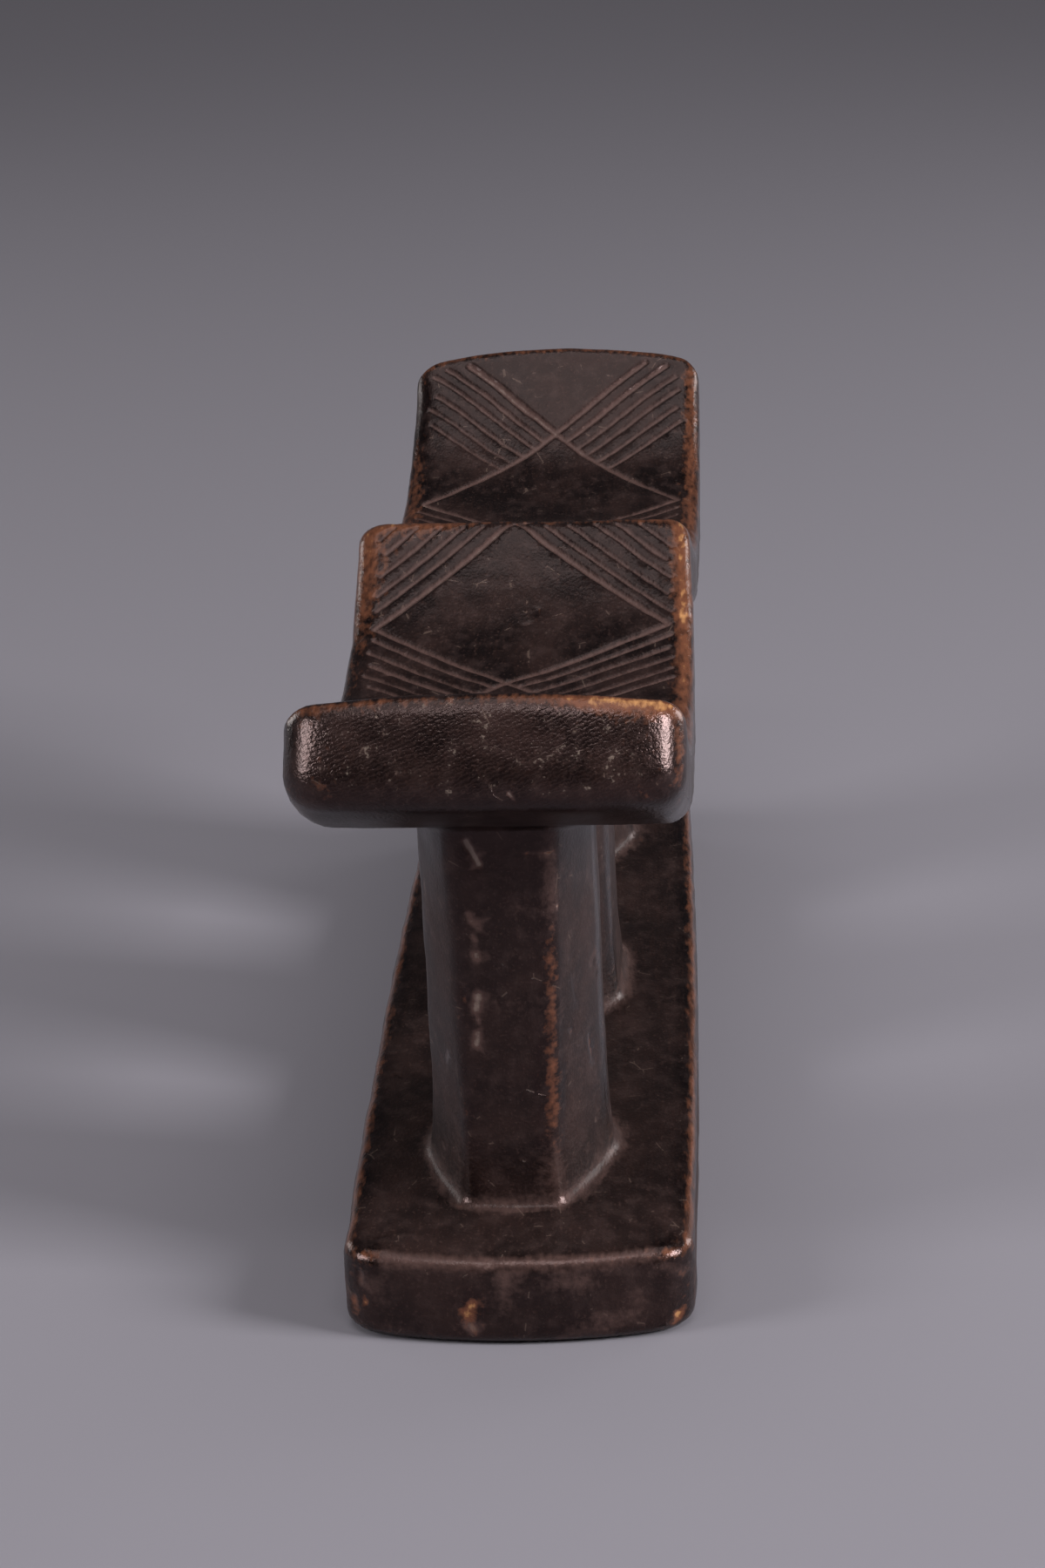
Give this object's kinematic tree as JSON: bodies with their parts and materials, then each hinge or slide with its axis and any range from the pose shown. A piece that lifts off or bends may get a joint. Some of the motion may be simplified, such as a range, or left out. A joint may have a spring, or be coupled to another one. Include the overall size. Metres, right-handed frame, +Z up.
{
  "type": "carved wooden headrest",
  "caption": "Carved dark wood headrest for two necks: a long foot, three faceted posts and a double saddle with incised lozenges.",
  "frame": {"origin": "middle of the foot's underside, on the ground", "axes": "+Y along the headrest, from one saddle's end to the other's; +X across it; +Z up"},
  "size_m": [0.096, 0.3956, 0.1662],
  "materials": {
    "wood": "dark hand-carved hardwood, oiled and worn to a soft gloss, browner along its edges"
  },
  "bodies": {
    "root": {"headrest": "wood"}
  },
  "joints": []
}
